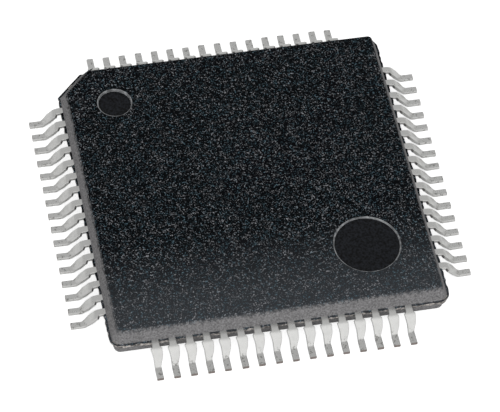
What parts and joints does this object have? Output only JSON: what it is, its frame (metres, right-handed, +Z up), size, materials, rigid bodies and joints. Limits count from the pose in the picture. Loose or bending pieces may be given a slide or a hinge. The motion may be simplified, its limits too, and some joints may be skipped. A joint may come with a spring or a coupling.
{
  "type": "quad flat pack chip",
  "caption": "Thin square integrated circuit package with gull-wing leads on all four sides, a cut index corner, a round dimple and an ejector mark in its top face.",
  "frame": {"origin": "centre of the seating plane that the lead feet rest on", "axes": "+Z up through the top face, +X to the right and +Y to the back; the cut index corner and lead 1 are at -X +Y"},
  "size_m": [0.012, 0.012, 0.0011],
  "materials": {
    "moulding_compound": "matte, spark-eroded mould texture",
    "tinned_lead": "satin tin plating",
    "lead_frame_copper": "satin copper alloy",
    "die_adhesive": "matte silver-filled adhesive",
    "silicon": "polished",
    "gold_wire": "bright"
  },
  "bodies": {
    "root": {"body": "moulding_compound", "die_pad": "lead_frame_copper", "die_adhesive": "die_adhesive", "silicon_die": "silicon", "leads_01_04": "tinned_lead", "leads_05_08": "tinned_lead", "leads_09_12": "tinned_lead", "leads_13_16": "tinned_lead", "leads_17_20": "tinned_lead", "leads_21_24": "tinned_lead", "leads_25_28": "tinned_lead", "leads_29_32": "tinned_lead", "leads_33_36": "tinned_lead", "leads_37_40": "tinned_lead", "leads_41_44": "tinned_lead", "leads_45_48": "tinned_lead", "leads_49_52": "tinned_lead", "leads_53_56": "tinned_lead", "leads_57_60": "tinned_lead", "leads_61_64": "tinned_lead", "wires_01_04": "gold_wire", "wires_05_08": "gold_wire", "wires_09_12": "gold_wire", "wires_13_16": "gold_wire", "wires_17_20": "gold_wire", "wires_21_24": "gold_wire", "wires_25_28": "gold_wire", "wires_29_32": "gold_wire", "wires_33_36": "gold_wire", "wires_37_40": "gold_wire", "wires_41_44": "gold_wire", "wires_45_48": "gold_wire", "wires_49_52": "gold_wire", "wires_53_56": "gold_wire", "wires_57_60": "gold_wire", "wires_61_64": "gold_wire"}
  },
  "joints": []
}
